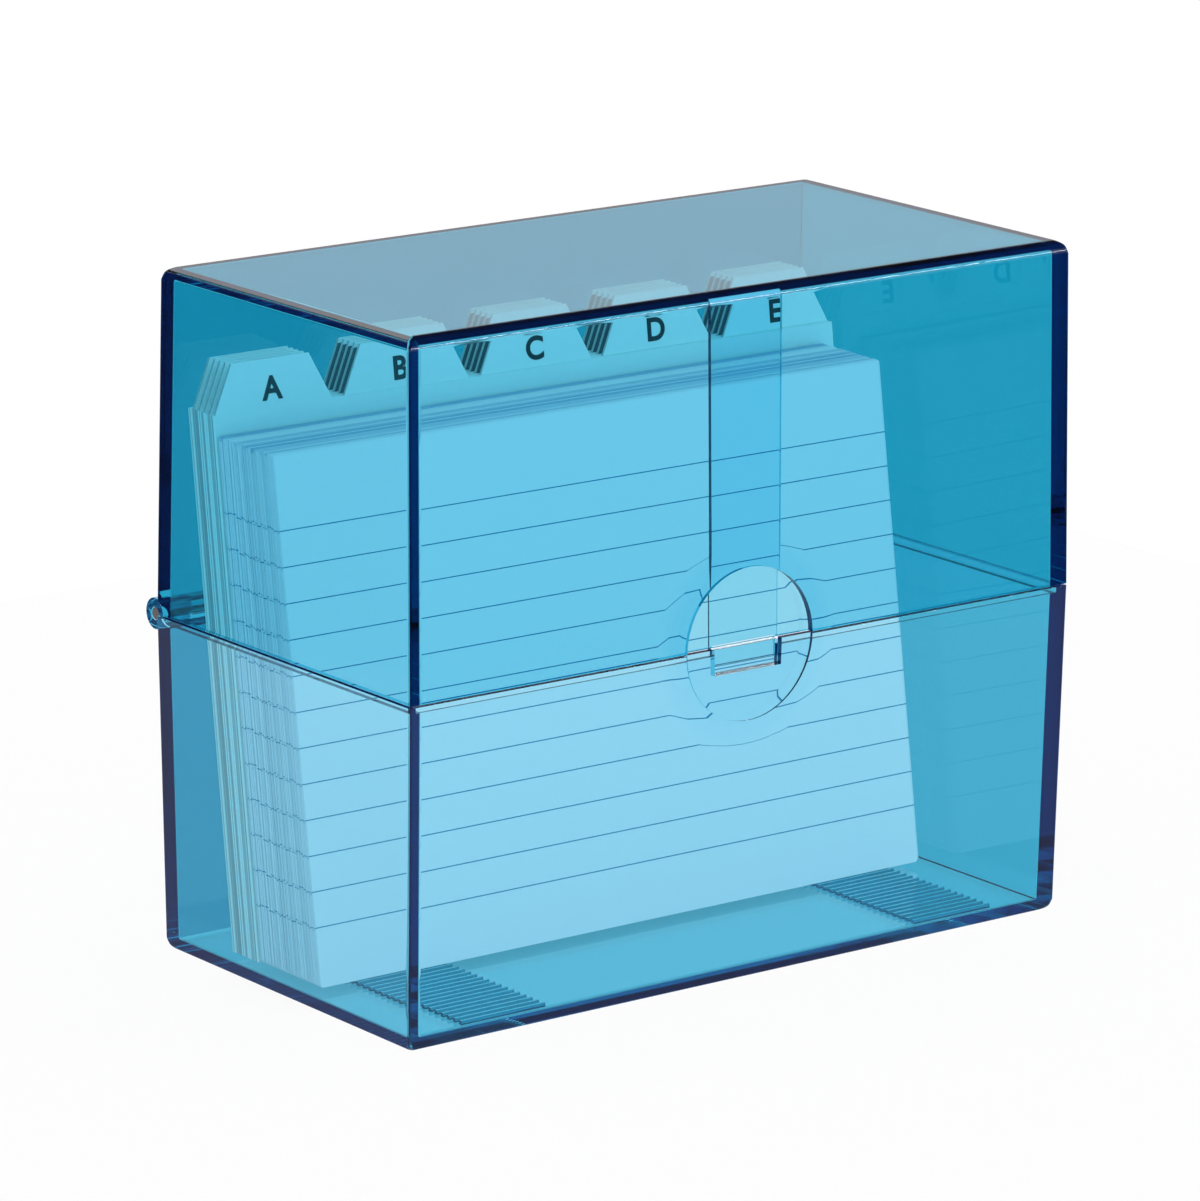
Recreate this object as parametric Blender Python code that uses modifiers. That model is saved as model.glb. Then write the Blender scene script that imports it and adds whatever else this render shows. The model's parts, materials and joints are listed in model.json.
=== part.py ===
"""Index card box: drafted tray and hinged lid, steel pins, ruled cards and a tabbed A to Z set.

The box stands on z = 0, +X runs along its width, -Y is the front and +Z is up.
The origin is under the middle of the bounding box.
"""

import math

import bmesh
import bpy

MM = 0.001

# Shell, measured over the outside at the parting plane
shell_width = 162.4 * MM
shell_depth = 87.0 * MM
tray_height = 69.15 * MM
lid_height = 70.65 * MM
parting_gap = 0.3 * MM

# Moulded walls, sides and front and rear, and the draft that each closed end is set in by
side_wall = 3.2 * MM
end_wall = 2.6 * MM
floor_thickness = 2.6 * MM
ceiling_thickness = 2.4 * MM
tray_side_draft = 0.6 * MM
tray_front_draft = 1.7 * MM
tray_rear_draft = 1.0 * MM
lid_side_draft = 0.6 * MM
lid_front_draft = 0.9 * MM
lid_rear_draft = 2.0 * MM

# Rounded edges: full round the closed end, small on the uprights and at the rim
closed_end_round = 2.6 * MM
upright_round = 0.4 * MM
rim_round = 0.15 * MM
inner_round = 0.45 * MM
round_segments = 5

# Hinge: two knuckles at each rear corner, outer on the tray, inner on the lid
pin_radius = 1.25 * MM
pin_clearance = 0.08 * MM
pin_recess = 0.1 * MM
knuckle_radius = 3.2 * MM
knuckle_length = 8.0 * MM
knuckle_gap = 0.4 * MM
knuckle_inset = 0.4 * MM
hinge_offset = 1.2 * MM
scoop_clearance = 0.3 * MM
hinge_sides = 32

# Finger dish, centred on the parting plane of the front wall
dish_radius = 15.5 * MM
lid_dish_depth = 1.4 * MM
tray_dish_depth = 0.7 * MM
dish_sides = 64

# Raised pad inside the front wall that backs the dish, its flank a soft swell
pad_top_radius = 14.0 * MM
pad_foot_radius = 22.0 * MM
pad_height = 0.45 * MM
pad_flank_steps = 6

# Latch: strip inside the lid front, tongue below it, notch in the tray rim
strip_top_width = 17.4 * MM
strip_rim_width = 16.8 * MM
strip_thickness = 0.85 * MM
tongue_width = 15.7 * MM
tongue_drop = 4.2 * MM
tongue_set_back = 1.1 * MM
tongue_chamfer = 0.4 * MM
notch_floor_width = 16.4 * MM
notch_rim_width = 16.8 * MM
notch_depth = 5.45 * MM

# Step inside the tray rim that leaves a thinner lip along the parting plane
rim_lip = 2.0 * MM
rim_step = 1.5 * MM

# Low ribs across the tray floor that keep the cards from sliding
rib_height = 0.8 * MM
rib_foot_width = 0.9 * MM
rib_crest_width = 0.5 * MM
rib_pitch = 2.05 * MM
rib_length = 20.0 * MM
rib_centre_x = 56.15 * MM
rib_root = 0.6 * MM
rib_end_gap = 1.5 * MM

# Cards: packets of ruled cards that lean back on the tab dividers
card_width = 148.0 * MM
card_height = 105.0 * MM
packet_thickness = 0.85 * MM
packet_pitch = 1.05 * MM
packet_count = 20
packets_per_group = 5
front_bay = 32.4 * MM
front_lean_extra = math.radians(1.0)

# Tab dividers: five tab places, repeated row after row
divider_body_height = 108.9 * MM
divider_thickness = 0.3 * MM
divider_pitch = 0.37 * MM
divider_corner = 3.0 * MM
tab_height = 9.6 * MM
tab_base_width = 27.9 * MM
tab_top_width = 18.5 * MM
tab_pitch = 30.9 * MM
tab_corner = 1.4 * MM
tabs_per_row = 5
corner_steps = 4
letters = (
    "A", "B", "C", "D", "E", "F", "G", "H", "I", "J", "K", "L", "M",
    "N", "O", "P", "Q", "R", "S", "T", "U", "V", "W", "XY", "Z",
)

# Clearances of the loose contents
seat_gap = 0.3 * MM
sheet_side_gap = 2.2 * MM
rear_rest_gap = 0.6 * MM
pile_gap = 0.3 * MM

# Cutters run past the faces that they cut by this much
overrun = 2.0 * MM

# Places that follow from the sizes above
half_width = shell_width / 2
hinge_overhang = hinge_offset + knuckle_radius
front_y = -(shell_depth + hinge_overhang) / 2
rear_y = front_y + shell_depth
hinge_y = rear_y + hinge_offset
hinge_z = tray_height
tray_rim = tray_height - parting_gap / 2
lid_rim = tray_height + parting_gap / 2
lid_top = tray_height + lid_height
rib_top = floor_thickness + rib_height
sheet_floor = rib_top + seat_gap
tray_drafts = (tray_side_draft, tray_front_draft, tray_rear_draft)
lid_drafts = (lid_side_draft, lid_front_draft, lid_rear_draft)

# Hinge stations along X, counted from each side of the shell towards the middle
tray_knuckle_out = half_width - knuckle_inset
tray_knuckle_in = tray_knuckle_out - knuckle_length
lid_knuckle_out = tray_knuckle_in - knuckle_gap
lid_knuckle_in = lid_knuckle_out - knuckle_length
tray_scoop_in = lid_knuckle_in - knuckle_gap

SHELL_BLUE = (0.02, 0.33, 0.55, 1.0)
CARD_WHITE = (0.90, 0.93, 0.94, 1.0)
DIVIDER_GREY = (0.62, 0.74, 0.76, 1.0)
STEEL = (0.62, 0.60, 0.58, 1.0)


def clear_scene():
    """Remove what the file holds already."""
    for obj in list(bpy.data.objects):
        bpy.data.objects.remove(obj, do_unlink=True)


def new_collection(name):
    collection = bpy.data.collections.new(name)
    bpy.context.scene.collection.children.link(collection)
    return collection


def finish(obj, colour, roughness, metallic=0.0, transmission=0.0):
    """Give the object its own material."""
    material = bpy.data.materials.new(obj.name)
    material.use_nodes = True
    shader = material.node_tree.nodes["Principled BSDF"]
    shader.inputs["Base Color"].default_value = colour
    shader.inputs["Roughness"].default_value = roughness
    shader.inputs["Metallic"].default_value = metallic
    shader.inputs["Transmission Weight"].default_value = transmission
    obj.data.materials.clear()
    obj.data.materials.append(material)


def move_to(obj, collection):
    for owner in list(obj.users_collection):
        owner.objects.unlink(obj)
    collection.objects.link(obj)
    return obj


def as_cutter(obj):
    move_to(obj, cutters)
    obj.hide_render = True
    obj.display_type = "WIRE"
    return obj


def combine(obj, tool, operation):
    modifier = obj.modifiers.new(operation.lower() + "_" + tool.name, "BOOLEAN")
    modifier.operation = operation
    modifier.solver = "EXACT"
    modifier.object = tool


def cut(obj, tool):
    combine(obj, tool, "DIFFERENCE")


def join(obj, tool):
    combine(obj, tool, "UNION")


def tapered_block(name, low, high):
    """Primitive cube pulled to two rectangles, each (left, right, front, rear, z)."""
    bpy.ops.mesh.primitive_cube_add(size=1)
    obj = bpy.context.object
    obj.name = name
    for vertex in obj.data.vertices:
        left, right, front, rear, z = high if vertex.co.z > 0 else low
        vertex.co.x = right if vertex.co.x > 0 else left
        vertex.co.y = rear if vertex.co.y > 0 else front
        vertex.co.z = z
    return obj


def round_edges(obj, width, share_of_edge, segments):
    """Bevel the edges that share_of_edge gives a share of the width to."""
    mesh = bmesh.new()
    mesh.from_mesh(obj.data)
    weight = mesh.edges.layers.float.new("bevel_weight_edge")
    for edge in mesh.edges:
        edge[weight] = share_of_edge(edge)
    mesh.to_mesh(obj.data)
    mesh.free()
    bevel = obj.modifiers.new("rounded_edges", "BEVEL")
    bevel.limit_method = "WEIGHT"
    bevel.width = width
    bevel.segments = segments
    bevel.use_clamp_overlap = True


def cylinder_x(name, radius, x_from, x_to, y, z, sides):
    """Cylinder along X between two stations."""
    bpy.ops.mesh.primitive_cylinder_add(
        vertices=sides,
        radius=radius,
        depth=abs(x_to - x_from),
        location=((x_from + x_to) / 2, y, z),
        rotation=(0, math.pi / 2, 0),
    )
    obj = bpy.context.object
    obj.name = name
    return obj


def ring(share, drafts, side_inset, end_inset):
    """Left, right, front and rear of a shell, share 0 at its rim and 1 at its closed end."""
    side, front, rear = drafts
    half = half_width - share * side - side_inset
    return -half, half, front_y + share * front + end_inset, rear_y - share * rear - end_inset


def cavity_ring(share, drafts):
    return ring(share, drafts, side_wall, end_wall)


def tray_share(z):
    return (tray_rim - z) / tray_rim


def lid_share(z):
    return (z - lid_rim) / (lid_top - lid_rim)


def moulded_shell(name, rim_z, closed_z, skin, share_at, drafts):
    """Drafted box, open at its rim, with rounded outer and inner edges."""
    towards_rim = 1 if rim_z > closed_z else -1
    rim = ring(0, drafts, 0, 0) + (rim_z,)
    closed = ring(1, drafts, 0, 0) + (closed_z,)
    low, high = (closed, rim) if towards_rim > 0 else (rim, closed)
    shell = move_to(tapered_block(name, low, high), parts)

    def outer_share(edge):
        first, second = [vertex.co.z for vertex in edge.verts]
        if abs(first - second) > side_wall:
            return upright_round / closed_end_round
        return 1.0 if abs(first - closed_z) < side_wall else rim_round / closed_end_round

    round_edges(shell, closed_end_round, outer_share, round_segments)

    inside_z = closed_z + towards_rim * skin
    mouth_z = rim_z + towards_rim * overrun
    inside = cavity_ring(share_at(inside_z), drafts) + (inside_z,)
    mouth = cavity_ring(share_at(mouth_z), drafts) + (mouth_z,)
    low, high = (inside, mouth) if towards_rim > 0 else (mouth, inside)
    cavity = as_cutter(tapered_block(name + "_cavity", low, high))

    def inner_share(edge):
        return 0.0 if all(abs(vertex.co.z - mouth_z) < overrun for vertex in edge.verts) else 1.0

    round_edges(cavity, inner_round, inner_share, round_segments)
    cut(shell, cavity)
    return shell


def turned(name, profile, steps):
    """Solid of revolution about its own Z, from a profile of (radius, height) points."""
    mesh = bpy.data.meshes.new(name)
    points = [(radius, 0, height) for radius, height in profile]
    mesh.from_pydata(points, [(index, index + 1) for index in range(len(points) - 1)], [])
    obj = bpy.data.objects.new(name, mesh)
    cutters.objects.link(obj)
    screw = obj.modifiers.new("turn", "SCREW")
    screw.steps = steps
    screw.render_steps = steps
    screw.use_merge_vertices = True
    screw.merge_threshold = rim_round / steps
    screw.use_normal_calculate = True
    return obj


def back_dish(shell, tilt, above, name):
    """Half of the raised pad behind the dish, on the shell's own side of the parting plane."""
    profile = [(0, -end_wall / 2), (pad_foot_radius, -end_wall / 2)]
    for step in range(pad_flank_steps + 1):
        share = step / pad_flank_steps
        radius = pad_foot_radius + share * (pad_top_radius - pad_foot_radius)
        profile.append((radius, pad_height * (1 - math.cos(math.pi * share)) / 2))
    profile.append((0, pad_height))
    pad = turned(name, profile, dish_sides)
    pad.location = (0, front_y + end_wall, tray_height)
    pad.rotation_euler = (tilt - math.pi / 2, 0, 0)
    reach = pad_foot_radius + overrun
    sides = (-reach, reach, front_y - overrun, front_y + end_wall + reach)
    low, high = (lid_rim, lid_rim + reach) if above else (tray_rim - reach, tray_rim)
    half = as_cutter(tapered_block(name + "_half", sides + (low,), sides + (high,)))
    combine(as_cutter(pad), half, "INTERSECT")
    join(shell, pad)


def cut_dish(shell, depth, tilt, name):
    """Round finger dish in the outside of the front wall, its floor tilted from upright."""
    outward = (overrun - depth) / 2
    bpy.ops.mesh.primitive_cylinder_add(
        vertices=dish_sides,
        radius=dish_radius,
        depth=depth + overrun,
        location=(
            0,
            front_y - outward * math.cos(tilt),
            tray_height - outward * math.sin(tilt),
        ),
        rotation=(math.pi / 2 + tilt, 0, 0),
    )
    dish = bpy.context.object
    dish.name = name
    cut(shell, as_cutter(dish))


def cut_rim_step(tray):
    """Step round the inside of the tray rim, which its outer lip stands proud of."""
    low_z = tray_rim - rim_step
    high_z = tray_rim + overrun
    low = ring(tray_share(low_z), tray_drafts, rim_lip, rim_lip) + (low_z,)
    high = ring(tray_share(high_z), tray_drafts, rim_lip, rim_lip) + (high_z,)
    cut(tray, as_cutter(tapered_block("rim_step", low, high)))


def add_hinge(shell, name, knuckle, scoop):
    """Knuckles on a shell's rear wall, and scoops that clear the other shell's knuckles."""
    for side, label in ((-1, "left"), (1, "right")):
        barrel = cylinder_x(
            name + "_knuckle_" + label, knuckle_radius,
            side * knuckle[0], side * knuckle[1], hinge_y, hinge_z, hinge_sides,
        )
        join(shell, as_cutter(barrel))
        relief = cylinder_x(
            name + "_scoop_" + label, knuckle_radius + scoop_clearance,
            side * scoop[0], side * scoop[1], hinge_y, hinge_z, hinge_sides,
        )
        cut(shell, as_cutter(relief))
        bore = cylinder_x(
            name + "_bore_" + label, pin_radius + pin_clearance,
            side * (half_width + overrun), side * tray_scoop_in,
            hinge_y, hinge_z, hinge_sides,
        )
        cut(shell, as_cutter(bore))


def rib_comb(name, centre_x):
    """Row of low ribs as one extruded outline, its root sunk into the floor."""
    _, _, front, rear = cavity_ring(tray_share(floor_thickness), tray_drafts)
    start = front + rib_end_gap
    teeth = int((rear - rib_end_gap - start) / rib_pitch)
    end = start + teeth * rib_pitch
    root = floor_thickness - rib_root
    flank = (rib_foot_width - rib_crest_width) / 2
    outline = [(start, root)]
    for tooth in range(teeth):
        foot = start + tooth * rib_pitch
        outline.append((foot, floor_thickness))
        outline.append((foot + flank, rib_top))
        outline.append((foot + flank + rib_crest_width, rib_top))
        outline.append((foot + rib_foot_width, floor_thickness))
    outline.append((end, floor_thickness))
    outline.append((end, root))
    comb = flat_piece(name, outline, rib_length / 2)
    comb.rotation_euler = (math.pi / 2, 0, math.pi / 2)
    comb.location = (centre_x, 0, 0)
    return comb


def flat_piece(name, outline, half_thickness):
    """Filled and extruded 2D outline, made a mesh with its caps welded on."""
    curve = bpy.data.curves.new(name + "_outline", "CURVE")
    curve.dimensions = "2D"
    curve.fill_mode = "BOTH"
    curve.extrude = half_thickness
    spline = curve.splines.new("POLY")
    spline.points.add(len(outline) - 1)
    for point, (across, up) in zip(spline.points, outline):
        point.co = (across, up, 0, 1)
    spline.use_cyclic_u = True
    guide = bpy.data.objects.new(name + "_outline", curve)
    cutters.objects.link(guide)
    evaluated = guide.evaluated_get(bpy.context.evaluated_depsgraph_get())
    mesh = bpy.data.meshes.new_from_object(evaluated)
    mesh.name = name
    welded = bmesh.new()
    welded.from_mesh(mesh)
    bmesh.ops.remove_doubles(welded, verts=welded.verts, dist=half_thickness / 100)
    bmesh.ops.recalc_face_normals(welded, faces=welded.faces)
    welded.to_mesh(mesh)
    welded.free()
    bpy.data.objects.remove(guide, do_unlink=True)
    obj = bpy.data.objects.new(name, mesh)
    parts.objects.link(obj)
    return obj


def rounded_outline(corners):
    """Outline with its corners rounded; each corner is (across, up, radius)."""
    points = []
    for index, (across, up, radius) in enumerate(corners):
        before = corners[index - 1]
        after = corners[(index + 1) % len(corners)]
        if radius == 0:
            points.append((across, up))
            continue
        towards_before = math.atan2(before[1] - up, before[0] - across)
        towards_after = math.atan2(after[1] - up, after[0] - across)
        opening = (towards_after - towards_before) % math.tau
        if opening > math.pi:
            opening = math.tau - opening
        tangent = radius / math.tan(opening / 2)
        start = (across + tangent * math.cos(towards_before), up + tangent * math.sin(towards_before))
        end = (across + tangent * math.cos(towards_after), up + tangent * math.sin(towards_after))
        for step in range(corner_steps + 1):
            along = step / corner_steps
            pull = 2 * along * (1 - along)
            points.append((
                (1 - along) ** 2 * start[0] + pull * across + along ** 2 * end[0],
                (1 - along) ** 2 * start[1] + pull * up + along ** 2 * end[1],
            ))
    return points


def divider_outline(place):
    """Sheet with one raised tab; place counts the tab places from the left edge."""
    sheet_width = tab_base_width + (tabs_per_row - 1) * tab_pitch
    left = -sheet_width / 2
    right = sheet_width / 2
    tab_left = left + place * tab_pitch
    tab_right = tab_left + tab_base_width
    run = (tab_base_width - tab_top_width) / 2
    top = divider_body_height + tab_height
    corners = [(left, 0, divider_corner), (right, 0, divider_corner)]
    if place < tabs_per_row - 1:
        corners.append((right, divider_body_height, tab_corner))
    corners.append((tab_right, divider_body_height, 0))
    corners.append((tab_right - run, top, tab_corner))
    corners.append((tab_left + run, top, tab_corner))
    corners.append((tab_left, divider_body_height, 0))
    if place > 0:
        corners.append((left, divider_body_height, tab_corner))
    return rounded_outline(corners)


def pivot(name, y):
    """Empty on the axis that a group of sheets tilts about."""
    empty = bpy.data.objects.new(name, None)
    empty.location = (0, y, sheet_floor)
    parts.objects.link(empty)
    return empty


def stand_sheet(obj, parent, x, y, lean, thickness):
    """Stand a sheet on the ribs, its lower rear edge on the seat, leaning back."""
    obj.parent = parent
    lift = thickness / 2 * math.sin(lean)
    obj.location = (x, y - parent.location.y, lift)
    obj.rotation_euler = (-lean, 0, 0)


def divider_lean():
    """Lean that brings the rearmost tab's top to rest on the lid's rear wall."""
    sheet_height = divider_body_height + tab_height
    lean = 0
    for _ in range(12):
        top_z = sheet_floor + sheet_height * math.cos(lean)
        rear = cavity_ring(lid_share(top_z), lid_drafts)[3]
        reach = rear - rear_rest_gap - last_divider_y - divider_thickness / 2
        lean = math.asin(reach / sheet_height)
    return lean


def build_tray():
    tray = moulded_shell("base_tray", tray_rim, 0, floor_thickness, tray_share, tray_drafts)
    for side, label in ((-1, "left"), (1, "right")):
        comb = rib_comb("rib_comb_" + label, side * rib_centre_x)
        join(tray, as_cutter(comb))
    back_dish(tray, math.atan(tray_front_draft / tray_rim), False, "tray_pad")
    cut_rim_step(tray)
    cut_dish(tray, tray_dish_depth, 0, "tray_dish")
    low = (-notch_floor_width / 2, notch_floor_width / 2)
    high = (-notch_rim_width / 2, notch_rim_width / 2)
    through = (front_y - overrun, front_y + tray_front_draft + end_wall + overrun)
    notch = tapered_block(
        "latch_notch",
        low + through + (tray_height - notch_depth,),
        high + through + (tray_height + overrun,),
    )
    cut(tray, as_cutter(notch))
    add_hinge(
        tray, "tray",
        (tray_knuckle_out, tray_knuckle_in - knuckle_gap / 2),
        (tray_knuckle_in, tray_scoop_in),
    )
    finish(tray, SHELL_BLUE, 0.04, transmission=0.9)
    return tray


def build_lid():
    lid = moulded_shell("lid", lid_rim, lid_top, ceiling_thickness, lid_share, lid_drafts)
    ceiling = lid_top - ceiling_thickness / 2
    inner_low = front_y + end_wall + strip_thickness
    inner_high = inner_low + lid_share(ceiling) * lid_front_draft
    strip = tapered_block(
        "latch_strip",
        (-strip_rim_width / 2, strip_rim_width / 2, front_y + end_wall / 2, inner_low, lid_rim),
        (-strip_top_width / 2, strip_top_width / 2, front_y + end_wall / 2 + lid_front_draft, inner_high, ceiling),
    )
    join(lid, as_cutter(strip))
    tilt = -math.atan(lid_front_draft / (lid_top - lid_rim))
    back_dish(lid, tilt, True, "lid_pad")
    cut_dish(lid, lid_dish_depth, tilt, "lid_dish")
    tongue_face = front_y + lid_dish_depth + tongue_set_back
    tongue_tip = tray_height - tongue_drop
    tongue = tapered_block(
        "latch_tongue",
        (-tongue_width / 2, tongue_width / 2, tongue_face, inner_low, tongue_tip),
        (-tongue_width / 2, tongue_width / 2, tongue_face, inner_low, lid_rim + strip_thickness),
    )

    def tip_share(edge):
        low_edge = all(vertex.co.z < tray_height for vertex in edge.verts)
        across = abs(edge.verts[0].co.x - edge.verts[1].co.x) > strip_thickness
        return 1.0 if low_edge and across else 0.0

    round_edges(tongue, tongue_chamfer, tip_share, 1)
    join(lid, as_cutter(tongue))
    add_hinge(
        lid, "lid",
        (lid_knuckle_out + knuckle_gap / 2, lid_knuckle_in),
        (half_width + overrun, lid_knuckle_out),
    )
    axis = bpy.data.objects.new("lid_hinge_axis", None)
    axis.location = (0, hinge_y, hinge_z)
    parts.objects.link(axis)
    lid.parent = axis
    lid.location = (0, -hinge_y, -hinge_z)
    finish(lid, SHELL_BLUE, 0.04, transmission=0.9)
    return lid


def build_pins():
    for side, label in ((-1, "left"), (1, "right")):
        pin = cylinder_x(
            "hinge_pin_" + label, pin_radius,
            side * (tray_knuckle_out - pin_recess), side * lid_knuckle_in,
            hinge_y, hinge_z, hinge_sides,
        )
        move_to(pin, parts)
        finish(pin, STEEL, 0.22, metallic=1.0)


def build_cards(rear_lean):
    front_lean = rear_lean + front_lean_extra
    for index in range(packet_count):
        if index % packets_per_group == 0:
            number = str(index // packets_per_group + 1)
            front_edge = pile_front + index * packet_pitch
            parent = pivot("card_pivot_" + number, front_edge)
        share = index / (packet_count - 1)
        lean = front_lean + (rear_lean - front_lean) * share
        bpy.ops.mesh.primitive_cube_add(size=1)
        packet = move_to(bpy.context.object, parts)
        packet.name = "card_packet_%02d" % (index + 1)
        for vertex in packet.data.vertices:
            vertex.co.x *= card_width
            vertex.co.y *= packet_thickness
            vertex.co.z = card_height if vertex.co.z > 0 else 0
        y = pile_front + index * packet_pitch + packet_thickness / 2
        stand_sheet(packet, parent, sheet_left + card_width / 2, y, lean, packet_thickness)
        finish(packet, CARD_WHITE, 0.7)


def build_dividers(lean):
    sheet_width = tab_base_width + (tabs_per_row - 1) * tab_pitch
    for index, letter in enumerate(letters):
        if index % tabs_per_row == 0:
            number = str(index // tabs_per_row + 1)
            front_edge = divider_front + index * divider_pitch
            parent = pivot("divider_pivot_" + number, front_edge)
        name = "divider_" + letter
        sheet = flat_piece(name, divider_outline(index % tabs_per_row), divider_thickness / 2)
        for vertex in sheet.data.vertices:
            across, up, through = vertex.co
            vertex.co = (across, -through, up)
        y = divider_front + index * divider_pitch + divider_thickness / 2
        stand_sheet(sheet, parent, sheet_left + sheet_width / 2, y, lean, divider_thickness)
        finish(sheet, DIVIDER_GREY, 0.55)


clear_scene()
parts = new_collection("index_card_box")
cutters = new_collection("index_card_box_cutters")

# The pile starts behind the free bay at the front of the tray
floor_ring = cavity_ring(tray_share(floor_thickness), tray_drafts)
sheet_left = floor_ring[0] + sheet_side_gap
pile_front = floor_ring[2] + front_bay
divider_front = pile_front + packet_count * packet_pitch + pile_gap
last_divider_y = divider_front + (len(letters) - 1) * divider_pitch + divider_thickness / 2

build_tray()
build_lid()
build_pins()
sheet_lean = divider_lean()
build_cards(sheet_lean)
build_dividers(sheet_lean)
for built in parts.objects:
    if built.type == "MESH":
        built.data.shade_smooth()
        built.data.set_sharp_from_angle(angle=math.radians(35))
bpy.context.view_layer.update()
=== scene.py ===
"""Clear blue index card box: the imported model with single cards, lettered tabs and clear walls."""

import json
import math

import bmesh
import bpy
import numpy as np
from mathutils import Matrix, Vector


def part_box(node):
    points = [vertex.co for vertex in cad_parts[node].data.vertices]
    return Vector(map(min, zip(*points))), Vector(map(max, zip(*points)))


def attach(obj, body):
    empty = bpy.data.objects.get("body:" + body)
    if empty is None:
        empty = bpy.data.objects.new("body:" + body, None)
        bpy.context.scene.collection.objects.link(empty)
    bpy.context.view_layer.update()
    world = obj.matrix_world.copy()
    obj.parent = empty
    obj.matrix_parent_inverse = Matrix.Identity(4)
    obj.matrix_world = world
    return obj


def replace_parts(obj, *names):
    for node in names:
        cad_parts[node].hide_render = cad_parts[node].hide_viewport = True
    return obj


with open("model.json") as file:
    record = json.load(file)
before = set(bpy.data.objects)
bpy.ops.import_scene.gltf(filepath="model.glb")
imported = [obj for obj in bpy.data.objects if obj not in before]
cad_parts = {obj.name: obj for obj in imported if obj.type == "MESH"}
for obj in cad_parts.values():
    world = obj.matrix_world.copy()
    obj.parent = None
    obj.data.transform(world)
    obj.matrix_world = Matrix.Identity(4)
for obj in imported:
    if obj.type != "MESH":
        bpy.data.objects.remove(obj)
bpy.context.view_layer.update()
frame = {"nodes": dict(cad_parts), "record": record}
scene = bpy.context.scene
MM = 0.001

# Card stock
CARD_WIDTH = 148.0 * MM
CARD_HEIGHT = 105.0 * MM
CARDS_PER_PACKET = 5
PACKET_THICKNESS = 0.85 * MM
CARD_SHARE_OF_PITCH = 0.8
CARD_CORNER_CLIP = 0.7 * MM
SIDE_SHIFT = 0.25 * MM
TOP_DROP = 0.35 * MM
PAPER = (0.95, 0.95, 0.95, 1)
PAPER_HOLLOW = (0.0, 0.0, 0.0, 1)
PAPER_MOTTLE = 0.06
CARD_FIBRE_SCALE = 900.0
# Painted shade on the cut edges of the stacked cards: its colour, how far it reaches, how strong
CARD_EDGE_PAINTED_SHADE = (0.12, 0.38, 0.58, 1)
CARD_SIDE_DEPTH = 0.3 * MM
CARD_TOP_DEPTH = 0.7 * MM
SIDE_PAINTED_SHADE_MOST = 0.3
TOP_PAINTED_SHADES = (0.0, 0.1, 0.35, 0.6)

# Printed rules
RULE_COUNT = 12
RULE_TOP = 15.0 * MM
RULE_PITCH = 7.1 * MM
RULE_HALF_WIDTH = 0.115 * MM
RULE_SHIFT = 0.4 * MM
RULE_INK = (0.02, 0.26, 0.44, 1)

# Divider boards, in rows of five tab places
TAB_LETTERS = [*"ABCDEFGHIJKLMNOPQRSTUVW", "XY", "Z"]
TAB_PLACES = 5
TAB_WIDTH = 27.9 * MM
TAB_PITCH = 30.9 * MM
TAB_RUN = 4.7 * MM
TAB_FOOT = 108.9 * MM
TAB_TOP = 118.5 * MM
BOARD_WIDTH = TAB_WIDTH + (TAB_PLACES - 1) * TAB_PITCH
BOARD_THICKNESS = 0.3 * MM
BOARD_PALE = (0.87, 0.97, 0.94, 1)
BOARD_GREY = (0.77, 0.88, 0.85, 1)
# Colour of painted shade and shadow, also used for the thin line along the slanted tab edges
BOARD_SHADOW = (0.02, 0.07, 0.09, 1)
BOARD_FIBRE_SCALE = 700.0
BOARD_SIDE_DEPTH = 0.1 * MM
# How strong the painted shade on a board's cut sides is; one is picked for each board
BOARD_SIDE_PAINTED_SHADES = (0.0, 0.2, 0.45, 0.6)
# Painted shadow of the tabs in front, in the gap beside the slanted edge of a tab behind them
GAP_START = 0.4 * MM
GAP_END = 3.2 * MM
GAP_SOFT = 0.2 * MM
GAP_BELOW_TOP = 1.0 * MM
GAP_PAINTED_SHADE = 0.92
TAB_RIM = 0.22 * MM
TAB_RIM_SHADE = 0.55

# Letters printed on the tabs
LETTER_SIZE = 6.5 * MM
LETTER_BASE = 110.5 * MM
LETTER_BOLDNESS = 0.21 * MM
LETTER_THICKNESS = 0.01 * MM
LETTER_CLEARANCE = 0.02 * MM

# Plastic: share of each colour that a near wall, a far wall and a bounce inside them keep
NEAR_TINT = {"lid": (0.164, 0.634, 0.861), "base_tray": (0.285, 0.723, 0.924)}
FAR_TINT = {"lid": (0.029, 0.51, 0.601), "base_tray": (0.107, 0.562, 0.678)}
BOUNCE_TINT = {"lid": (0.25, 0.73, 0.83, 1.0), "base_tray": (0.25, 0.73, 0.835, 1.0)}
DEEP_TINT = (0.20, 0.98, 0.985, 1.0)
LAMP_TINT = (0.97, 0.98, 1.0, 1.0)
PLASTIC_IOR = 1.55
NEAR_WALL_CROSSINGS = 1.5
DEEP_FROM = 11.0
DEEP_TO = 14.0

# Plastic: part of a wall's thickness that each kind of face stands for
FACE_SHARE = 0.5
REAR_SHARE = {"lid": 0.70, "base_tray": 0.85}
SHEET_SHARE = {"lid": 0.44, "base_tray": 0.34}
DISH_SHARE = {"lid": 0.85, "base_tray": 0.0}
BACKING_SHARE = 0.7
TONGUE_SHARE = 0.04
NOTCH_FLOOR_SHARE = 6.0

# Housing
WALL = 2.6 * MM
WELD_DISTANCE = 1e-6
FLAT_ANGLE = math.radians(0.3)
FRONT_Y = -45.7 * MM
FRONT_DRAFT = {"lid": 0.9 * MM, "base_tray": 1.7 * MM}
TRAY_HEIGHT = 69.15 * MM
SMOOTH_ANGLE = math.radians(40)
LARGE_FACE = 20 * MM**2
TILTED = 0.12
LEVEL = 0.1
PAD_FLANK_TOP = 14.0 * MM
PAD_FLANK_FOOT = 22.0 * MM
PAD_MARGIN = 0.1 * MM
PAD_SWELL = 0.225 * MM
NOTCH_HALF_WIDTH = 9 * MM
NOTCH_LEAST_DEPTH = 3 * MM

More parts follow.
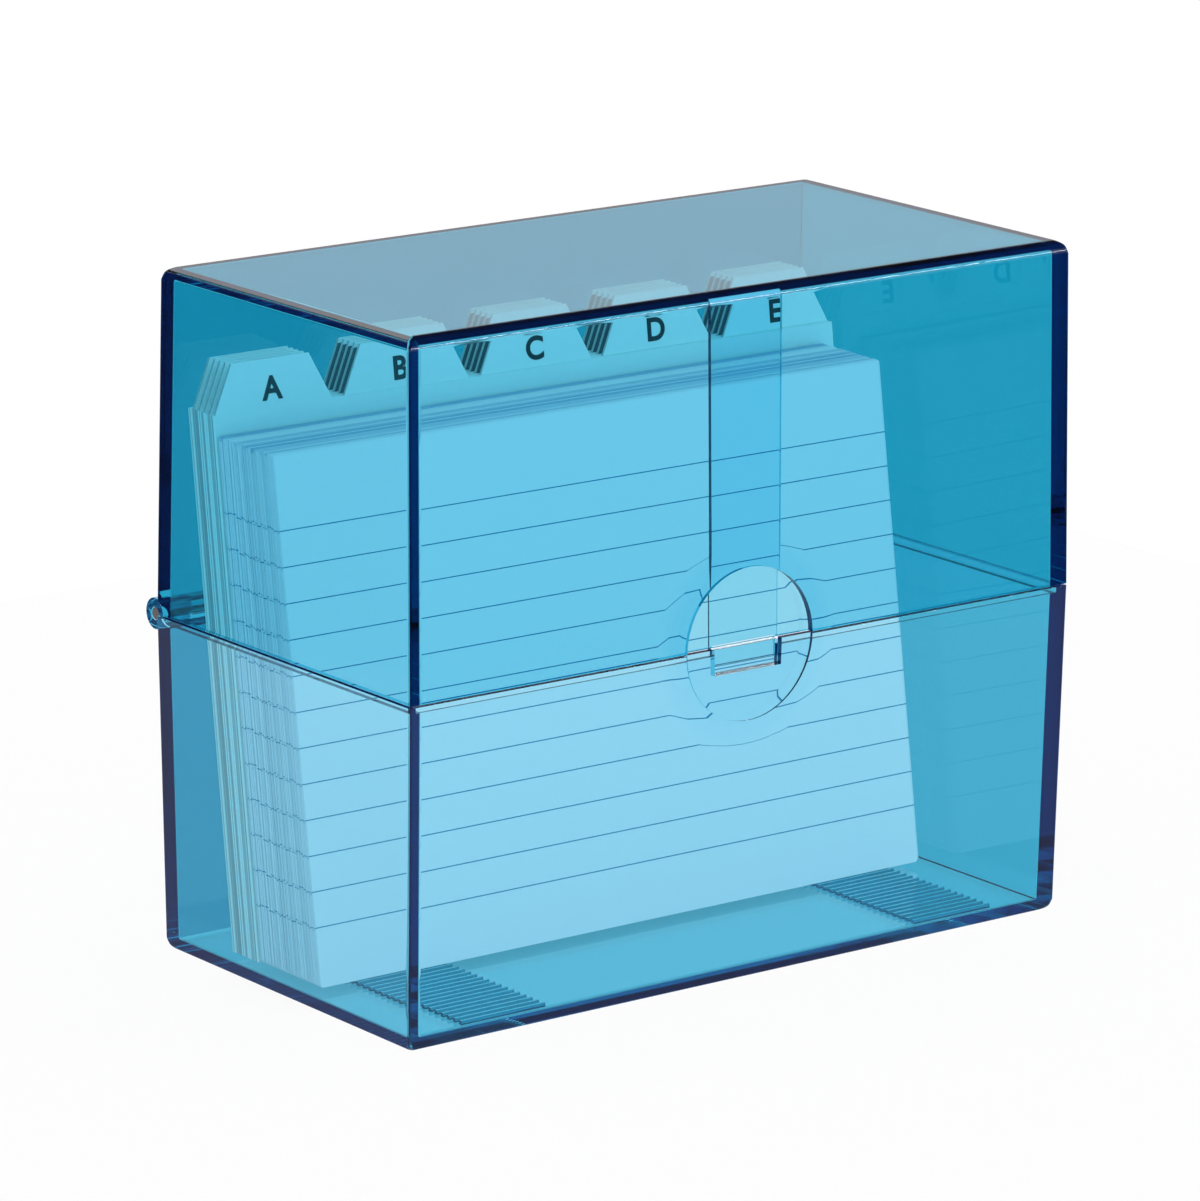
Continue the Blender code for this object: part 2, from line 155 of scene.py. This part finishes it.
# Clear skin across the latch notch
PANE_DROP = 5.45 * MM
PANE_HEIGHT = 5.0 * MM
PANE_HALF_WIDTH = 8.15 * MM
PANE_FLARE = 0.15 * MM
PANE_CLIP = 0.3 * MM
PANE_NEAR = 1.7 * MM
PANE_FAR = 2.2 * MM

# Studio
FLOOR_HALF_SIZE = 0.30
FLOOR_DROP = 0.3 * MM
FLOOR_PALE = (0.80, 0.80, 0.80, 1)
FLOOR_GLOW = 0.85
WHITE = (1, 1, 1, 1)
UNDER_EDGE = (-0.262, -0.240)
SKY_BAND = (-0.02, 0.45, 0.06)
STRIP_BAND = (0.235, 0.27, 0.01)
STRIP_RIGHTWARD = (0.2, 0.3)
STRIP_FORWARD = (-0.3, -0.4)
STRIP_BOUNCES = 4.5
MIRRORED_BELOW = 0.4
MIRRORED_SKY = 0.62
MIRRORED_STRIP = 18.0
MIRRORED_LEAST = 0.03
LAMP_LEVEL = 1.15
CAMERA_PLACE = Vector((-792.119, -1053.020, 404.659)) * MM
CAMERA_AIM = Vector((-2.355, 0.1544, 68.780)) * MM
CAMERA_ROLL = math.radians(0.225)
CAMERA_LENS = 203.52


def new_material(name):
    material = bpy.data.materials.new(name)
    material.use_nodes = True
    material.node_tree.nodes.clear()
    return material, material.node_tree


def feed(tree, socket, value):
    """Link the socket to a value that is a socket itself, or else set it."""
    if isinstance(value, bpy.types.NodeSocket):
        tree.links.new(value, socket)
    else:
        socket.default_value = value


def add_node(tree, kind, **inputs):
    """Node of that kind with its named inputs fed."""
    made = tree.nodes.new(kind)
    for name, value in inputs.items():
        feed(tree, made.inputs[name.replace("_", " ")], value)
    return made


def maths(tree, operation, *values, clamp=False):
    made = tree.nodes.new("ShaderNodeMath")
    made.operation = operation
    made.use_clamp = clamp
    for socket, value in zip(made.inputs, values):
        feed(tree, socket, value)
    return made.outputs[0]


def product(tree, first, *others):
    for other in others:
        first = maths(tree, "MULTIPLY", first, other)
    return first


def largest(tree, first, *others):
    for other in others:
        first = maths(tree, "MAXIMUM", first, other)
    return first


def blend_colours(tree, share, first, second):
    made = tree.nodes.new("ShaderNodeMix")
    made.data_type = "RGBA"
    for index, value in ((0, share), (6, first), (7, second)):
        feed(tree, made.inputs[index], value)
    return made.outputs[2]


def mix_shaders(tree, share, first, second):
    made = tree.nodes.new("ShaderNodeMixShader")
    for socket, value in zip(made.inputs, (share, first, second)):
        feed(tree, socket, value)
    return made.outputs[0]


def ramp(tree, value, low, high):
    """Smooth step from 0 at low to 1 at high."""
    made = tree.nodes.new("ShaderNodeMapRange")
    made.interpolation_type = "SMOOTHSTEP"
    feed(tree, made.inputs["Value"], value)
    feed(tree, made.inputs["From Min"], low)
    feed(tree, made.inputs["From Max"], high)
    return made.outputs[0]


def between(tree, value, low, high, soft):
    """1 from low to high, falling smoothly to 0 outside them."""
    rise = ramp(tree, value, low - soft, low)
    return maths(tree, "SUBTRACT", rise, ramp(tree, value, high, high + soft), clamp=True)


def uv_parts(tree, uv_map):
    """The UV map's own socket, and its two numbers as sockets."""
    uv = tree.nodes.new("ShaderNodeUVMap")
    uv.uv_map = uv_map
    parts = add_node(tree, "ShaderNodeSeparateXYZ", Vector=uv.outputs[0])
    return uv.outputs[0], parts.outputs[0], parts.outputs[1]


def show(tree, shader):
    out = tree.nodes.new("ShaderNodeOutputMaterial")
    tree.links.new(shader, out.inputs["Surface"])


def tinted_plastic(name, node):
    """Polished clear plastic, tinted at each face that light crosses.

    A face keeps the tint to the power of the part of a wall that it stands for, so that two faces
    of half a wall each give the whole tint. The first wall has the near tint, later ones the far.
    """
    material, tree = new_material(name)
    path = tree.nodes.new("ShaderNodeLightPath")
    geometry = tree.nodes.new("ShaderNodeNewGeometry")
    thickness = tree.nodes.new("ShaderNodeAttribute")
    thickness.attribute_name = "wall_share"
    far_wall = maths(tree, "GREATER_THAN", path.outputs["Transmission Depth"], NEAR_WALL_CROSSINGS)
    channels = {}
    for channel, near, far in zip(("Red", "Green", "Blue"), NEAR_TINT[node], FAR_TINT[node]):
        wall_keeps = maths(tree, "MULTIPLY_ADD", far_wall, far - near, near)
        channels[channel] = maths(tree, "POWER", wall_keeps, thickness.outputs["Fac"])
    tint = add_node(tree, "ShaderNodeCombineColor", **channels).outputs[0]
    deep = ramp(tree, path.outputs["Ray Depth"], DEEP_FROM, DEEP_TO)
    inside = blend_colours(tree, deep, BOUNCE_TINT[node], DEEP_TINT)
    kept = blend_colours(tree, geometry.outputs["Backfacing"], WHITE, inside)
    through = add_node(
        tree, "ShaderNodeBsdfRefraction", Color=tint, Roughness=0.0, IOR=PLASTIC_IOR
    )
    mirror = add_node(tree, "ShaderNodeBsdfGlossy", Color=kept, Roughness=0.0)
    grazing = add_node(tree, "ShaderNodeFresnel", IOR=PLASTIC_IOR)
    glass = mix_shaders(tree, grazing.outputs[0], through.outputs[0], mirror.outputs[0])
    lamp_way = add_node(tree, "ShaderNodeBsdfTransparent", Color=LAMP_TINT)
    soft_ray = largest(tree, path.outputs["Is Shadow Ray"], path.outputs["Is Diffuse Ray"])
    show(tree, mix_shaders(tree, soft_ray, glass, lamp_way.outputs[0]))
    return material


def ruled_card():
    """White card with fine fibre mottling and thin rules, placed by the UV map in metres.

    A rule is where the height, counted in pitches down from the top rule, is close to a whole
    number from 0 to the last. The cut edges get painted shade, as strong as the second UV map
    says, standing in for the shade between the stacked cards.
    """
    material, tree = new_material("ruled_card")
    sheet, across, up = uv_parts(tree, "sheet")
    step = maths(
        tree, "DIVIDE", maths(tree, "SUBTRACT", CARD_HEIGHT - RULE_TOP, up), RULE_PITCH
    )
    off = maths(tree, "ABSOLUTE", maths(tree, "SUBTRACT", step, maths(tree, "ROUND", step)))
    line = product(
        tree,
        maths(tree, "LESS_THAN", off, RULE_HALF_WIDTH / RULE_PITCH),
        maths(tree, "GREATER_THAN", step, -0.5),
        maths(tree, "LESS_THAN", step, RULE_COUNT - 0.5),
    )
    fibre = add_node(tree, "ShaderNodeTexNoise", Vector=sheet, Scale=CARD_FIBRE_SCALE, Detail=3.0)
    mottle = maths(tree, "MULTIPLY_ADD", fibre.outputs[0], PAPER_MOTTLE, 1 - PAPER_MOTTLE)
    paper = blend_colours(tree, mottle, PAPER_HOLLOW, PAPER)
    ruled = blend_colours(tree, line, paper, RULE_INK)
    _, side_painted_shade, top_painted_shade = uv_parts(tree, "cut_edge")
    aside = maths(tree, "ABSOLUTE", across)
    at_side = maths(tree, "GREATER_THAN", aside, CARD_WIDTH / 2 - CARD_SIDE_DEPTH)
    at_top = maths(tree, "GREATER_THAN", up, CARD_HEIGHT - CARD_TOP_DEPTH)
    darker = largest(
        tree, product(tree, at_side, side_painted_shade), product(tree, at_top, top_painted_shade)
    )
    colour = blend_colours(tree, darker, ruled, CARD_EDGE_PAINTED_SHADE)
    shader = add_node(
        tree, "ShaderNodeBsdfPrincipled", Base_Color=colour, Roughness=0.75, Specular_IOR_Level=0.0
    )
    show(tree, shader.outputs[0])
    return material


def divider_board():
    """Smooth grey-green board with painted shade on its cut edges.

    Behind plastic, the tabs that stand behind others get painted shadow in the gap beside their
    slanted edge, from the tabs in front. A thin dark line is painted along each slanted tab edge.
    The third UV map gives the distance from that edge, and how dark the painted shadow is.
    """
    material, tree = new_material("divider_board")
    sheet, across, up = uv_parts(tree, "sheet")
    fibre = add_node(tree, "ShaderNodeTexNoise", Vector=sheet, Scale=BOARD_FIBRE_SCALE, Detail=4.0)
    board = blend_colours(tree, fibre.outputs[0], BOARD_GREY, BOARD_PALE)
    _, side_painted_shade, _ = uv_parts(tree, "cut_edge")
    aside = maths(tree, "ABSOLUTE", across)
    at_side = product(
        tree,
        maths(tree, "GREATER_THAN", aside, BOARD_WIDTH / 2 - BOARD_SIDE_DEPTH),
        side_painted_shade,
    )
    _, from_edge, gap_shade = uv_parts(tree, "tab_slant")
    # The painted shadow in the gaps shows only where the board is seen through plastic
    path = tree.nodes.new("ShaderNodeLightPath")
    gap = product(
        tree,
        between(tree, from_edge, GAP_START, GAP_END, GAP_SOFT),
        gap_shade,
        maths(tree, "GREATER_THAN", path.outputs["Transmission Depth"], 0.5),
        maths(tree, "LESS_THAN", up, TAB_TOP - GAP_BELOW_TOP),
    )
    rim = product(tree, maths(tree, "LESS_THAN", from_edge, TAB_RIM), TAB_RIM_SHADE)
    in_tab = maths(tree, "GREATER_THAN", up, TAB_FOOT)
    darker = largest(tree, at_side, product(tree, largest(tree, gap, rim), in_tab))
    colour = blend_colours(tree, darker, board, BOARD_SHADOW)
    shader = add_node(
        tree, "ShaderNodeBsdfPrincipled", Base_Color=colour, Roughness=0.6, Specular_IOR_Level=0.0
    )
    show(tree, shader.outputs[0])
    return material


def grained(name, colour, roughness, metallic=0.0):
    """Plain finish with a fine grain that darkens it by up to 15 percent."""
    material, tree = new_material(name)
    place = tree.nodes.new("ShaderNodeTexCoord")
    grain = add_node(
        tree, "ShaderNodeTexNoise", Vector=place.outputs["Object"], Scale=2500.0, Detail=2.0
    )
    dark = tuple(0.85 * value for value in colour[:3]) + (1,)
    shade = blend_colours(tree, grain.outputs[0], colour, dark)
    shader = add_node(
        tree, "ShaderNodeBsdfPrincipled", Base_Color=shade, Roughness=roughness, Metallic=metallic
    )
    show(tree, shader.outputs[0])
    return material


def body_of(node):
    for body, nodes in frame["record"]["behaviour"]["bodies"].items():
        if node in nodes:
            return body


def place_piece(name, mesh, body):
    piece = bpy.data.objects.new(name, mesh)
    scene.collection.objects.link(piece)
    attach(piece, body)
    return piece


def build_mesh(name, vertices, faces, material, **uv_maps):
    mesh = bpy.data.meshes.new(name)
    mesh.from_pydata(vertices.tolist(), [], faces)
    corner = np.empty(len(mesh.loops), dtype=np.int32)
    mesh.loops.foreach_get("vertex_index", corner)
    for map_name, values in uv_maps.items():
        layer = mesh.uv_layers.new(name=map_name)
        layer.data.foreach_set("uv", values[corner].astype(np.float32).ravel())
    mesh.materials.append(material)
    mesh.update()
    return mesh


def store_wall_share(mesh, share):
    layer = mesh.attributes.new("wall_share", "FLOAT", "FACE")
    layer.data.foreach_set("value", share.astype(np.float32))


def sheet_frame(node, height, thickness):
    """Foot, up and rearward directions of a leaning sheet, from its solid's box.

    The lean is the angle of the box's diagonal less that of the upright sheet's own diagonal.
    """
    low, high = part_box(node)
    lean = math.atan2(high.y - low.y, high.z - low.z) - math.atan2(thickness, height)
    up = np.array([0.0, math.sin(lean), math.cos(lean)])
    rear = np.array([0.0, math.cos(lean), -math.sin(lean)])
    foot = np.array([(low.x + high.x) / 2, low.y, low.z + thickness * math.sin(lean)])
    return foot, up, rear


def prism(outline, near, far, foot, up, rear):
    """Outline in (across, up) carried from near to far behind the sheet's front face.

    A point is foot + across * x axis + height * up + depth * rear.
    """
    count = len(outline)
    across = np.array([1.0, 0.0, 0.0])
    flat = foot + outline[:, :1] * across + outline[:, 1:2] * up
    vertices = np.vstack([flat + near * rear, flat + far * rear])
    corner = np.arange(count)
    after = np.roll(corner, -1)
    sides = np.stack([after, corner, corner + count, after + count], axis=1)
    faces = [tuple(range(count)), tuple(range(2 * count - 1, count - 1, -1))]
    faces += [tuple(side) for side in sides.tolist()]
    return vertices, faces, np.vstack([outline, outline])


def build_notch_pane(material):
    """Thin clear skin across the latch notch: a trapezium with clipped upper corners."""
    wide = PANE_HALF_WIDTH
    shoulder = PANE_HEIGHT - PANE_CLIP
    right = np.array([
        (wide, 0.0), (wide + PANE_FLARE, shoulder), (wide - PANE_CLIP, PANE_HEIGHT),
    ])
    left = right[::-1] * (-1, 1)
    outline = np.vstack([left[-1:], right, left[:-1]])
    foot = np.array([0.0, FRONT_Y, TRAY_HEIGHT - PANE_DROP])
    up = np.array([0.0, 0.0, 1.0])
    rear = np.array([0.0, 1.0, 0.0])
    vertices, faces, uv = prism(outline, PANE_NEAR, PANE_FAR, foot, up, rear)
    mesh = build_mesh("notch_pane", vertices, faces, material, sheet=uv)
    store_wall_share(mesh, np.full(len(faces), FACE_SHARE))
    place_piece("notch_pane", mesh, body_of("base_tray"))


def build_cards(material):
    """Each packet as five single cards: rectangles with clipped lower corners and uneven edges.

    A card's left or right edge is drawn in by up to the side shift and its top by up to the
    drop. The first card of the first packet keeps its rules level with the fitted ones.
    """
    rng = np.random.default_rng(7)
    names = sorted(name for name in frame["nodes"] if name.startswith("card_packet"))
    pitch = PACKET_THICKNESS / CARDS_PER_PACKET
    for name in names:
        in_front = name == names[0]
        foot, up, rear = sheet_frame(name, CARD_HEIGHT, PACKET_THICKNESS)
        vertices, faces, uvs, painted_shades = [], [], [], []
        # Painted shade on this packet's top edges, none on the front packet
        top_painted_shade = 0.0 if in_front else rng.choice(TOP_PAINTED_SHADES)
        for card in range(CARDS_PER_PACKET):
            shift = rng.uniform(-SIDE_SHIFT, SIDE_SHIFT)
            drop = rng.uniform(0, TOP_DROP)
            left = -CARD_WIDTH / 2 + max(shift, 0)
            right = CARD_WIDTH / 2 + min(shift, 0)
            top = CARD_HEIGHT - drop
            clip = CARD_CORNER_CLIP
            outline = np.array([
                (left + clip, 0.0), (right - clip, 0.0), (right, clip),
                (right, top), (left, top), (left, clip),
            ])
            near = card * pitch
            far = near + CARD_SHARE_OF_PITCH * pitch
            v, f, uv = prism(outline, near, far, foot, up, rear)
            if card > 0 or not in_front:
                uv[:, 1] += rng.uniform(-RULE_SHIFT, RULE_SHIFT)
            start = sum(len(block) for block in vertices)
            vertices.append(v)
            faces += [tuple(corner + start for corner in face) for face in f]
            uvs.append(uv)
            # Painted shade on this card's cut sides, picked at random for each card
            side_painted_shade = rng.uniform(0.0, SIDE_PAINTED_SHADE_MOST)
            painted_shades.append(np.tile((side_painted_shade, top_painted_shade), (len(v), 1)))
        piece_name = "cards_" + name[-2:]
        mesh = build_mesh(
            piece_name, np.vstack(vertices), faces, material,
            sheet=np.vstack(uvs), cut_edge=np.vstack(painted_shades),
        )
        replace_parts(place_piece(piece_name, mesh, body_of(name)), name)


def tab_outline(place):
    """Board with one tab: a trapezium whose sides lean in by the run, in its place of the row."""
    left = -BOARD_WIDTH / 2 + place * TAB_PITCH
    right = left + TAB_WIDTH
    points = [(-BOARD_WIDTH / 2, 0.0), (BOARD_WIDTH / 2, 0.0)]
    if place < TAB_PLACES - 1:
        points.append((BOARD_WIDTH / 2, TAB_FOOT))
    points += [
        (right, TAB_FOOT), (right - TAB_RUN, TAB_TOP), (left + TAB_RUN, TAB_TOP), (left, TAB_FOOT),
    ]
    if place > 0:
        points.append((-BOARD_WIDTH / 2, TAB_FOOT))
    return np.array(points), left, right


def letter_mesh(letter, centre, foot, up, rear, ink):
    """Letter laid on the board: its (x, y, z) becomes across, up and forward of the front face."""
    curve = bpy.data.curves.new("letter_" + letter, "FONT")
    curve.body = letter
    curve.size = LETTER_SIZE
    curve.align_x = "CENTER"
    curve.offset = LETTER_BOLDNESS
    curve.extrude = LETTER_THICKNESS
    text = bpy.data.objects.new("text_" + letter, curve)
    scene.collection.objects.link(text)
    mesh = bpy.data.meshes.new_from_object(
        text.evaluated_get(bpy.context.evaluated_depsgraph_get())
    )
    bpy.data.objects.remove(text, do_unlink=True)
    flat = np.empty(len(mesh.vertices) * 3)
    mesh.vertices.foreach_get("co", flat)
    x, y, z = np.hsplit(flat.reshape(-1, 3), 3)
    across = (x + centre) * np.array([1.0, 0, 0])
    laid = foot + across + (y + LETTER_BASE) * up - (z + LETTER_CLEARANCE) * rear
    mesh.vertices.foreach_set("co", laid.ravel())
    mesh.materials.clear()
    mesh.materials.append(ink)
    mesh.update()
    return mesh


def build_dividers(board, ink):
    """Boards with their tabs in rows of five, each with its letter."""
    rng = np.random.default_rng(11)
    for index, letter in enumerate(TAB_LETTERS):
        name = "divider_" + letter
        place = index % TAB_PLACES
        foot, up, rear = sheet_frame(name, TAB_TOP, BOARD_THICKNESS)
        outline, left, right = tab_outline(place)
        v, f, uv = prism(outline, 0.0, BOARD_THICKNESS, foot, up, rear)
        # Tabs behind a front-row tab get painted shadow beside their slanted edge, on the front face
        behind_another = index >= TAB_PLACES and place > 0
        from_edge = uv[:, 0] - left - TAB_RUN / (TAB_TOP - TAB_FOOT) * (uv[:, 1] - TAB_FOOT)
        on_front = np.arange(len(v)) < len(outline)
        mesh = build_mesh(
            "tabbed_" + letter, v, f, board, sheet=uv,
            cut_edge=np.full((len(v), 2), rng.choice(BOARD_SIDE_PAINTED_SHADES)),
            tab_slant=np.stack([from_edge, GAP_PAINTED_SHADE * behind_another * on_front], axis=1),
        )
        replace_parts(place_piece("tabbed_" + letter, mesh, body_of(name)), name)
        mark = letter_mesh(letter, (left + right) / 2, foot, up, rear, ink)
        place_piece("letter_" + letter, mark, body_of(name))


def build_shell(node, name, material):
    """Copy of a housing with its loose triangles joined, smooth over its rounded edges."""
    mesh = frame["nodes"][node].data.copy()
    mesh.name = name
    welded = bmesh.new()
    welded.from_mesh(mesh)
    bmesh.ops.remove_doubles(welded, verts=welded.verts, dist=WELD_DISTANCE)
    bmesh.ops.dissolve_limit(
        welded, angle_limit=FLAT_ANGLE, verts=welded.verts, edges=welded.edges,
        delimit={"NORMAL"},
    )
    welded.to_mesh(mesh)
    welded.free()
    set_corner_normals(mesh, node)
    set_wall_share(mesh, node)
    mesh.materials.clear()
    mesh.materials.append(material)
    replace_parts(place_piece(name, mesh, body_of(node)), node)


def read_faces(mesh, *names):
    """Face values as arrays: one number a face, or three for a centre or a normal."""
    for name in names:
        wide = 3 if name in ("center", "normal") else 1
        values = np.empty(len(mesh.polygons) * wide)
        mesh.polygons.foreach_get(name, values)
        yield values.reshape(-1, 3) if wide == 3 else values


def mean_corner_normals(mesh, vertex, face, area, normal):
    """Mean of the faces at a corner's vertex that are alike, counted by their area squared."""
    weight = (area / MM**2) ** 2
    by_vertex = np.argsort(vertex, kind="stable")
    count = np.bincount(vertex, minlength=len(mesh.vertices))
    first = np.cumsum(count) - count
    total = np.zeros((len(vertex), 3))
    for step in range(count.max()):
        has = count[vertex] > step
        other = face[by_vertex[first[vertex[has]] + step]]
        alike = np.einsum("ij,ij->i", normal[other], normal[face[has]]) > math.cos(SMOOTH_ANGLE)
        total[has] += normal[other] * (alike * weight[other])[:, None]
    return total / np.linalg.norm(total, axis=1)[:, None]


def set_corner_normals(mesh, node):
    """Corner normals: the mean of alike faces, snapped on long rounds, swelling on the dish's pad.

    On the long rounds along the sides a normal snaps to the wall's or the sheet's own, so that the
    edge reads crisp. On the flank of the pad behind the dish it follows the slope of a cosine:
    half the swell times (1 + cos), from the flank's foot to its top.
    """
    mesh.shade_smooth()
    vertex = np.empty(len(mesh.loops), np.int32)
    mesh.loops.foreach_get("vertex_index", vertex)
    corners, area, normal = read_faces(mesh, "loop_total", "area", "normal")
    face = np.repeat(np.arange(len(corners)), corners.astype(int))
    total = mean_corner_normals(mesh, vertex, face, area, normal)

    across, rearward, upward = np.abs(total).T
    large = (area[face] > LARGE_FACE) & (upward > TILTED)
    along_side = large & (across > TILTED) & (rearward < LEVEL)
    along_front = large & (total[:, 1] < -TILTED) & (across < LEVEL) & (total[:, 2] < 0)
    to_sheet = along_side & (total[:, 2] > 0.8)
    to_wall = along_side & ~to_sheet
    total[to_sheet] = (0, 0, 1)
    total[to_wall] = np.sign(total[to_wall]) * (1, 0, 0)
    total[along_front] = (0, -1, 0)

    place = np.empty(len(mesh.vertices) * 3)
    mesh.vertices.foreach_get("co", place)
    x, y, z = place.reshape(-1, 3)[vertex].T
    z = z - TRAY_HEIGHT
    radius = np.maximum(np.hypot(x, z), 1 * MM)
    run = PAD_FLANK_FOOT - PAD_FLANK_TOP
    share = np.clip((PAD_FLANK_FOOT - radius) / run, 0, 1)
    slope = PAD_SWELL * math.pi / run * np.sin(math.pi * share)
    inner = (total[:, 1] > 0.9) & (np.abs(y - FRONT_Y - WALL) < 1.2 * MM)
    in_ring = (radius > PAD_FLANK_TOP - PAD_MARGIN) & (radius < PAD_FLANK_FOOT + PAD_MARGIN)
    flank = inner & in_ring
    lean = FRONT_DRAFT[node] / TRAY_HEIGHT * (-1 if node == "lid" else 1)
    swell = np.stack([slope * x / radius, np.ones(len(x)), slope * z / radius + lean], axis=1)
    total[flank] = (swell / np.linalg.norm(swell, axis=1)[:, None])[flank]
    mesh.normals_split_custom_set(total.tolist())


def set_wall_share(mesh, node):
    """Part of a wall that each face stands for: half, plus how far it lies from the plain wall."""
    centre, normal = read_faces(mesh, "center", "normal")
    x, y, z = centre.T
    low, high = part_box(node)
    rim, closed = (high.z, low.z) if node == "base_tray" else (TRAY_HEIGHT, high.z)
    along = np.clip((z - rim) / (closed - rim), 0, 1)
    plain = FRONT_Y + along * FRONT_DRAFT[node]
    share = np.full(len(centre), FACE_SHARE)
    share[(y > 0) & (np.abs(normal[:, 1]) > 0.9)] = REAR_SHARE[node]
    share[np.abs(normal[:, 2]) > 0.7] = SHEET_SHARE[node]
    front = y < FRONT_Y + 3 * WALL
    outer = front & (normal[:, 1] < -0.9)
    inner = front & (normal[:, 1] > 0.9)
    share[outer] -= DISH_SHARE[node] * (y - plain)[outer] / WALL
    share[inner] += BACKING_SHARE * (y - plain - WALL)[inner] / WALL
    if node == "lid":
        share[z < TRAY_HEIGHT] = TONGUE_SHARE
    else:
        in_notch = (z < TRAY_HEIGHT - NOTCH_LEAST_DEPTH) & (np.abs(x) < NOTCH_HALF_WIDTH)
        upper_half = z > TRAY_HEIGHT / 2
        share[front & (normal[:, 2] > 0.9) & in_notch & upper_half] = NOTCH_FLOOR_SHARE
    store_wall_share(mesh, np.clip(share, 0, NOTCH_FLOOR_SHARE))


def build_floor():
    """Pale square that is white to the camera and through the plastic, and keeps the shadow."""
    material, tree = new_material("pale_floor")
    path = tree.nodes.new("ShaderNodeLightPath")
    diffuse = add_node(tree, "ShaderNodeBsdfDiffuse", Color=FLOOR_PALE)
    glow = add_node(tree, "ShaderNodeEmission", Color=WHITE, Strength=1.0)
    direct = largest(tree, path.outputs["Is Camera Ray"], path.outputs["Is Transmission Ray"])
    share = product(tree, direct, FLOOR_GLOW)
    show(tree, mix_shaders(tree, share, diffuse.outputs[0], glow.outputs[0]))
    corners = np.array([(-1, -1, 0), (1, -1, 0), (1, 1, 0), (-1, 1, 0)]) * FLOOR_HALF_SIZE
    floor = bpy.data.objects.new("floor", build_mesh("floor", corners, [(0, 1, 2, 3)], material))
    floor.location.z = -FLOOR_DROP
    floor.visible_glossy = False
    scene.collection.objects.link(floor)


def build_studio_light():
    """World that is white to look at, lights evenly, and mirrors as a bright sky with one strip.

    Height and sides are the direction's own parts. Below the floor's edge and in the low sky the
    mirrored world is grey. The strip stands at the front right and shows in early bounces only.
    """
    world = bpy.data.worlds.new("studio")
    scene.world = world
    world.use_nodes = True
    tree = world.node_tree
    tree.nodes.clear()
    path = tree.nodes.new("ShaderNodeLightPath")
    place = tree.nodes.new("ShaderNodeTexCoord")
    direction = add_node(tree, "ShaderNodeSeparateXYZ", Vector=place.outputs["Generated"])
    rightward, rearward, height = direction.outputs
    under = maths(tree, "SUBTRACT", 1.0, ramp(tree, height, *UNDER_EDGE))
    strip = product(
        tree,
        between(tree, height, *STRIP_BAND),
        maths(tree, "LESS_THAN", path.outputs["Ray Depth"], STRIP_BOUNCES),
        ramp(tree, rightward, *STRIP_RIGHTWARD),
        ramp(tree, rearward, *STRIP_FORWARD),
        MIRRORED_STRIP,
    )
    mirrored = largest(
        tree,
        product(tree, under, MIRRORED_BELOW),
        product(tree, between(tree, height, *SKY_BAND), MIRRORED_SKY),
        strip,
        MIRRORED_LEAST,
    )
    mirrored = product(tree, mirrored, path.outputs["Is Glossy Ray"])
    seen = largest(tree, path.outputs["Is Camera Ray"], path.outputs["Is Transmission Ray"])
    lit = product(tree, path.outputs["Is Diffuse Ray"], LAMP_LEVEL)
    strength = maths(tree, "ADD", largest(tree, seen, mirrored), lit)
    back = add_node(tree, "ShaderNodeBackground", Color=WHITE, Strength=strength)
    out = tree.nodes.new("ShaderNodeOutputWorld")
    tree.links.new(back.outputs[0], out.inputs[0])


def build_camera():
    data = bpy.data.cameras.new("camera")
    data.lens = CAMERA_LENS
    data.sensor_width = 36
    data.clip_start = 0.01
    data.clip_end = 50
    camera = bpy.data.objects.new("camera", data)
    turn = (CAMERA_AIM - CAMERA_PLACE).to_track_quat("-Z", "Y").to_matrix().to_4x4()
    roll = Matrix.Rotation(CAMERA_ROLL, 4, "Z")
    camera.matrix_world = Matrix.Translation(CAMERA_PLACE) @ turn @ roll
    scene.collection.objects.link(camera)
    scene.camera = camera


build_camera()
build_floor()
build_studio_light()
tray_plastic = tinted_plastic("tray_plastic", "base_tray")
build_shell("lid", "lid_shell", tinted_plastic("lid_plastic", "lid"))
build_shell("base_tray", "tray_shell", tray_plastic)
build_notch_pane(tray_plastic)
steel = grained("pin_steel", (0.66, 0.62, 0.60, 1), 0.2, metallic=1.0)
for pin in ("hinge_pin_left", "hinge_pin_right"):
    frame["nodes"][pin].data.materials.clear()
    frame["nodes"][pin].data.materials.append(steel)
build_cards(ruled_card())
build_dividers(divider_board(), grained("black_ink", (0.012, 0.016, 0.02, 1), 0.5))

scene.view_settings.view_transform = "Standard"
scene.cycles.max_bounces = 48
scene.cycles.transmission_bounces = 40
scene.cycles.glossy_bounces = 40
scene.cycles.diffuse_bounces = 3
scene.cycles.transparent_max_bounces = 32
